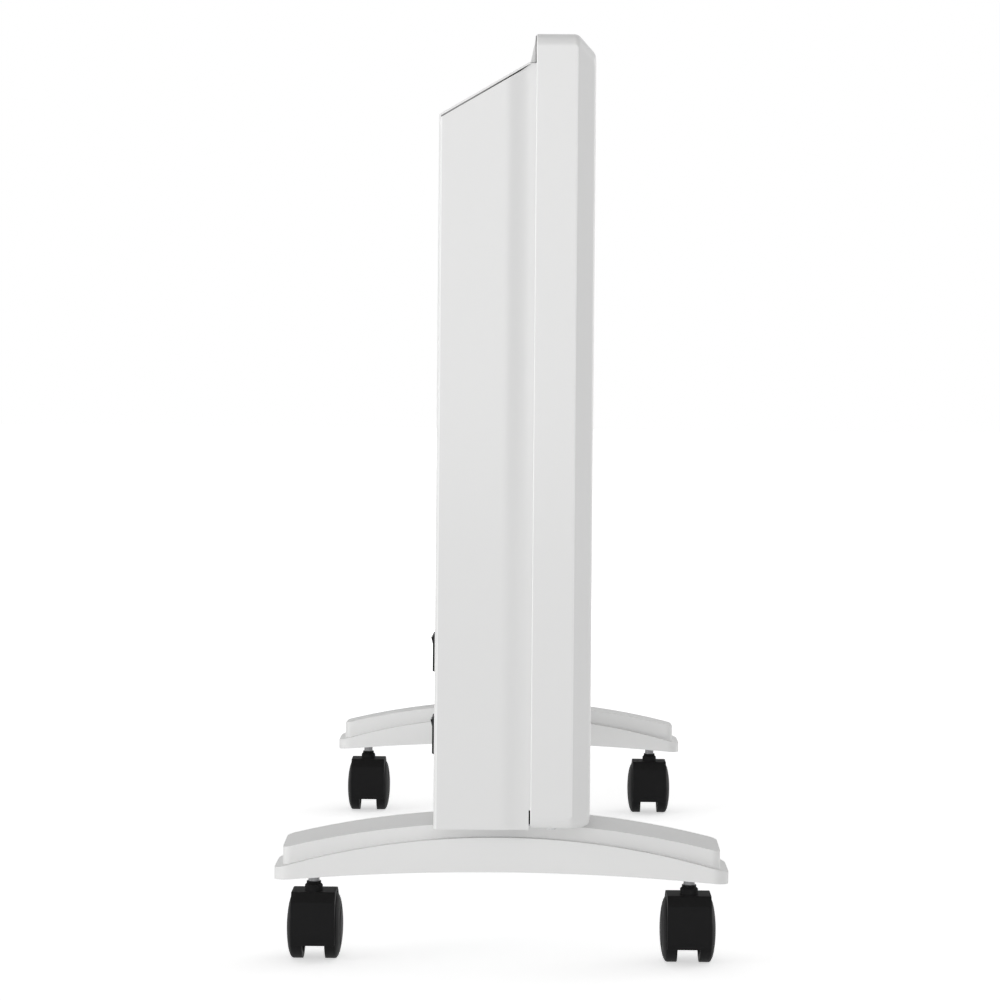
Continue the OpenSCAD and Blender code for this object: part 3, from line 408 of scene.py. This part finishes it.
# The flange's cut edge at the seam is rounded, and its rounding is painted as a highlight.
seam = -0.0150
fold(panel, radius=0.00046, segments=4, material=highlighted,
     chosen=lambda edge: all(abs(vertex.co.y - seam) < hair for vertex in edge.verts))
rounded("outlet_grille", "louvred_outlet", powder_white, width=0)


# Rocker switches
# Two black moulded switches stand in the back near the left end, one above the other, set alike.
# Each has a rim, a snap-in body and a glossy rocker with its plain on and off marks.

rocker_gloss = finish("glossy rocker", (0.010, 0.010, 0.011), roughness=0.24, grain_scale=700,
                      grain_height=0.00001, dusty=0.02, gloss=0.12)
mark_paint = finish("white marking", (0.78, 0.78, 0.77), roughness=0.50, grain_scale=900,
                    grain_height=0.00001)


def lettering(name, node, paint, words):
    """Printed characters in one thin mesh; each is a text, a height, a centre and two directions."""
    printed = bmesh.new()
    for text, height, centre, across, upward in words:
        letters = bpy.data.curves.new(name, "FONT")
        letters.body = text
        letters.size = height
        letters.extrude = 0.00002
        letters.align_x = "CENTER"
        letters.align_y = "CENTER"
        outline = bpy.data.objects.new(name, letters)
        shape = bpy.data.meshes.new_from_object(outline)
        turn = Matrix((across, upward, across.cross(upward))).transposed().to_4x4()
        shape.transform(Matrix.Translation(centre) @ turn)
        printed.from_mesh(shape)
        bpy.data.objects.remove(outline)
        bpy.data.curves.remove(letters)
        bpy.data.meshes.remove(shape)
    mesh = bpy.data.meshes.new(name)
    printed.to_mesh(mesh)
    printed.free()
    mesh.materials.append(paint)
    piece = bpy.data.objects.new(name, mesh)
    bpy.context.scene.collection.objects.link(piece)
    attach(piece, frame["nodes"][node]["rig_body"])


def centre_of(node):
    """The middle of a solid's box, as three numbers."""
    return [(low + high) / 2 for low, high in zip(*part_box(node))]


# A rocker's lower half stands plumb at rest, and its upper half leans out of the housing.
left = Vector((-1, 0, 0))
plumb = Vector((0, 0, 1))
swing = math.radians(14)
leaning = Vector((0, math.sin(swing), math.cos(swing)))
ridge_depth = 0.03602
mark_height = 0.0042
mark_reach = 0.0048
for level in ("upper", "lower"):
    rounded(f"switch_housing_{level}", f"{level}_switch_body", black_moulding,
            width=0.0003)
    rounded(f"rocker_{level}", f"{level}_switch_rocker", rocker_gloss, width=0.0004)
    x, _, z = centre_of(f"rocker_{level}")
    ridge = Vector((x, ridge_depth, z))
    lettering(f"{level}_rocker_marks", f"rocker_{level}", mark_paint, [
        ("I", mark_height, ridge + mark_reach * leaning, left, leaning),
        ("O", mark_height, ridge - mark_reach * plumb, left, plumb)])


# Thermostat knob
# A fluted black moulding pushed on a flattened steel shaft, turning over a white dial plate.
# The dial carries plain numbers and the knob a pointer line.

knob_black = finish("satin knob moulding", (0.018, 0.018, 0.019), roughness=0.42, grain_scale=1500,
                    grain_height=0.00002, dusty=0.03, gloss=0.4)
rounded("thermostat_knob", "fluted_knob", knob_black, width=0.0004)
rounded("thermostat_shaft", "knob_shaft", plated_screw)
white_moulding = finish("white moulding", (0.815, 0.815, 0.81), roughness=0.46, grain_scale=1500,
                        grain_height=0.00003, spread=0.02, dusty=0.05, shade=0.98)
rounded("knob_dial", "numbered_dial", white_moulding, width=0.0003)
dial_x, _, dial_z = centre_of("knob_dial")
dial_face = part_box("knob_dial")[1].y
dial_middle = Vector((dial_x, dial_face, dial_z))
dial_print = finish("dark grey print", (0.05, 0.05, 0.052), roughness=0.5, grain_scale=900,
                    grain_height=0.00001)
number_height = 0.0046
number_circle = 0.0214
number_count = 7
degrees_apart = 45
numbers = []
for step in range(number_count):
    turn = math.radians(degrees_apart * step)
    outward = math.sin(turn) * left + math.cos(turn) * plumb
    numbers.append((str(step), number_height, dial_middle + number_circle * outward, left, plumb))
lettering("dial_numbers", "knob_dial", dial_print, numbers)
pointer_length = 0.0125
pointer_offset = 0.0098
pointer_recess = 0.0007
knob_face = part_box("thermostat_knob")[1].y
pointer_middle = Vector((dial_middle.x, knob_face - pointer_recess, dial_middle.z + pointer_offset))
lettering("knob_pointer_line", "thermostat_knob", mark_paint,
          [("I", pointer_length, pointer_middle, left, plumb)])


# Feet
# Two arched white mouldings in two tiers, hollow underneath, screwed through the body's base.
# Fine spark-eroded grain, a little softer in sheen than the powder coat.

for side in ("left", "right"):
    rounded(f"foot_{side}", f"{side}_arched_foot", white_moulding, width=0.0009,
            segments=3)
rounded("foot_screws", "foot_screw_set", plated_screw)
rounded("foot_nuts", "foot_nut_set", plated_screw)


# Castors
# Four twin-wheel castors. A steel stem with a black collar is pushed into the foot, a black hood
# swivels on it, and two wheels turn by themselves on one short axle.

# Scuffs: short fine scratches along one direction, as a floor leaves them on a wheel.
scuffs, given, result = effect("scuffs", [("Scale", "NodeSocketFloat", 260.0)],
                               [("Mask", "NodeSocketFloat")])
place = scuffs.nodes.new("ShaderNodeTexCoord")
stretch = scuffs.nodes.new("ShaderNodeMapping")
stretch.inputs["Scale"].default_value = (1.0, 9.0, 1.0)
streaks = scuffs.nodes.new("ShaderNodeTexNoise")
streaks.inputs["Detail"].default_value = 4.0
sharpen = scuffs.nodes.new("ShaderNodeMapRange")
sharpen.inputs["From Min"].default_value = 0.45
sharpen.inputs["From Max"].default_value = 0.72
scuffs.links.new(place.outputs["Object"], stretch.inputs["Vector"])
scuffs.links.new(stretch.outputs["Vector"], streaks.inputs["Vector"])
scuffs.links.new(given.outputs["Scale"], streaks.inputs["Scale"])
scuffs.links.new(streaks.outputs["Fac"], sharpen.inputs["Value"])
scuffs.links.new(sharpen.outputs["Result"], result.inputs["Mask"])

castor_black = finish("black castor moulding", (0.0145, 0.0145, 0.015), roughness=0.60, grain_scale=1200,
                      grain_height=0.00004, dusty=0.02, gloss=0.05, shade=0.7, spread=0.06)
wheel_black = finish("black wheel moulding", (0.015, 0.015, 0.0155), roughness=0.55, grain_scale=900,
                     grain_height=0.00003, dusty=0.02, gloss=0.06, shade=0.6, spread=0.06,
                     pattern=scuffs)
castor_steel = finish("castor steel", (0.20, 0.20, 0.205), roughness=0.34, grain_scale=900,
                      grain_height=0.00001, spread=0.05, metal=0.95)
# A wheel's zones, as shares of its radius: the tread's corner, the dome's edge and the hub.
tread_share = 0.98
dome_share = 0.95
hub_share = 0.3
dome_rise = 0.0033
dome_reach = 1.0176
dome_fullness = 0.34
tread_turn = 0.0007


def fuller(wheel, node, outward):
    """Draws a wheel's domed face out near its rim and turns its tread into it without a corner."""
    low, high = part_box(node)
    x, _, z = centre_of(node)
    hub = Vector((x, z))
    apex = high.y if outward > 0 else low.y
    radius = (high.z - low.z) / 2
    skin = bmesh.new()
    skin.from_mesh(wheel.data)
    depths = {vertex: (apex - vertex.co.y) * outward for vertex in skin.verts}
    step = {vertex for vertex, depth in depths.items() if abs(depth - dome_rise) < hair}
    bmesh.ops.triangulate(skin, faces=[face for face in skin.faces if step.issuperset(face.verts)])
    for vertex, depth in depths.items():
        spoke = vertex.co.xz - hub
        share = spoke.length / radius
        if vertex in step and share > tread_share:
            vertex.co.y -= outward * tread_turn
        elif vertex in step and share > dome_share:
            vertex.co.xz = hub + spoke * dome_reach
        elif share > hub_share and depth < dome_rise:
            vertex.co.y += outward * depth * dome_fullness * (1 - share ** 8)
    skin.to_mesh(wheel.data)
    skin.free()


collar_low = 0.012
collar_high = 0.024
neck_radius = 0.0031
for corner in ("left_front", "left_rear", "right_front", "right_rear"):
    rounded(f"castor_hood_{corner}", f"{corner}_castor_hood", castor_black,
            width=0.0006, segments=3)
    for letter, outward in (("a", -1), ("b", 1)):
        node = f"castor_wheel_{letter}_{corner}"
        wheel = rounded(node, f"{corner}_wheel_{letter}", wheel_black, width=0.0004)
        fuller(wheel, node, outward)
    node = f"castor_stem_{corner}"
    stem = rounded(node, f"{corner}_castor_stem", castor_steel)
    stem.data.materials.append(castor_black)
    x, y, _ = centre_of(node)
    axis = Vector((x, y))
    stem_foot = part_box(node)[0].z
    for face in stem.data.polygons:
        at_collar = collar_low < face.center.z - stem_foot < collar_high
        face.material_index = int(at_collar and (face.center.xy - axis).length > neck_radius)
    rounded(f"castor_axle_{corner}", f"{corner}_castor_axle", castor_steel)


# Floor, light and camera
# A plain pale floor that keeps the shadow, an even white surround and three soft lights round the heater.
# The camera looks along the heater from its left end, from about two thirds of its height.

floor_mesh = bpy.data.meshes.new("floor")
reach = 12.0
floor_corners = [(-reach, -reach, 0), (reach, -reach, 0), (reach, reach, 0), (-reach, reach, 0)]
floor_mesh.from_pydata(floor_corners, [], [(0, 1, 2, 3)])
floor = bpy.data.objects.new("floor", floor_mesh)
bpy.context.scene.collection.objects.link(floor)
pale = bpy.data.materials.new("pale floor")
pale.use_nodes = True
tree = pale.node_tree
tree.nodes.remove(tree.nodes["Principled BSDF"])
matt = tree.nodes.new("ShaderNodeBsdfDiffuse")
matt.inputs["Color"].default_value = (0.94, 0.94, 0.94, 1)
lift = tree.nodes.new("ShaderNodeEmission")
lift.inputs["Color"].default_value = (1, 1, 1, 1)
rays = tree.nodes.new("ShaderNodeLightPath")
spot = tree.nodes.new("ShaderNodeTexCoord")
away = tree.nodes.new("ShaderNodeVectorMath")
away.operation = "LENGTH"
tree.links.new(spot.outputs["Object"], away.inputs[0])
fade = tree.nodes.new("ShaderNodeMapRange")
fade.interpolation_type = "SMOOTHSTEP"
fade.inputs["From Min"].default_value = 0.35
fade.inputs["From Max"].default_value = 1.1
fade.inputs["To Min"].default_value = 0.56
fade.inputs["To Max"].default_value = 1.0
tree.links.new(away.outputs["Value"], fade.inputs["Value"])
seen = maths(tree, "MAXIMUM", rays.outputs["Is Camera Ray"], rays.outputs["Is Glossy Ray"])
bounce = 0.22
shown = maths(tree, "MULTIPLY", seen, fade.outputs["Result"])
tree.links.new(maths(tree, "MAXIMUM", shown, bounce), lift.inputs["Strength"])
both = tree.nodes.new("ShaderNodeAddShader")
tree.links.new(matt.outputs[0], both.inputs[0])
tree.links.new(lift.outputs[0], both.inputs[1])
tree.links.new(both.outputs[0], tree.nodes["Material Output"].inputs["Surface"])
floor_mesh.materials.append(pale)

world = bpy.data.worlds.new("white surround")
bpy.context.scene.world = world
world.use_nodes = True
tree = world.node_tree
sky = tree.nodes["Background"]
rays = tree.nodes.new("ShaderNodeLightPath")
seen = maths(tree, "MAXIMUM", rays.outputs["Is Camera Ray"], rays.outputs["Is Glossy Ray"])
ambient = 0.39
shown = maths(tree, "MULTIPLY", seen, 1 - ambient)
tree.links.new(maths(tree, "ADD", shown, ambient), sky.inputs["Strength"])
sky.inputs["Color"].default_value = (1, 1, 1, 1)


def soft_light(name, place, target, size, power):
    """A square area light that looks at a point."""
    lamp = bpy.data.lights.new(name, "AREA")
    lamp.size = size
    lamp.energy = power
    light = bpy.data.objects.new(name, lamp)
    light.location = place
    light.rotation_euler = (Vector(target) - Vector(place)).to_track_quat("-Z", "Y").to_euler()
    bpy.context.scene.collection.objects.link(light)


middle = (0, 0, 0.25)
soft_light("key from the camera's end", (-7.0, 0.4, 1.25), middle, size=3.0, power=112)
soft_light("key from the left", (-1.9, 4.1, 0.40), middle, size=1.8, power=72)
soft_light("fill on the front panel", (2.3, -4.0, 0.80), middle, size=2.4, power=48)

# The lens follows the perspective between the near and the far foot; the horizon stands above the
# middle of the picture, which the shift gives without tilting the verticals.
lens = bpy.data.cameras.new("end view")
lens.sensor_width = 36.0
lens.lens = 100.35
lens.shift_y = -0.1357
lens.clip_start = 0.05
camera = bpy.data.objects.new("end view", lens)
camera.location = (-1.7361, -0.0133, 0.3195)
yaw = math.radians(0.632)
roll = math.radians(0.491)
forward = Vector((math.cos(yaw), math.sin(yaw), 0))
level_right = Vector((math.sin(yaw), -math.cos(yaw), 0))
right = math.cos(roll) * level_right + math.sin(roll) * plumb
up = -math.sin(roll) * level_right + math.cos(roll) * plumb
turned = camera.rotation_euler.to_matrix()
turned.col[0], turned.col[1], turned.col[2] = right, up, -forward
camera.rotation_euler = turned.to_euler()
bpy.context.scene.collection.objects.link(camera)
bpy.context.scene.camera = camera
bpy.context.scene.view_settings.view_transform = "Standard"
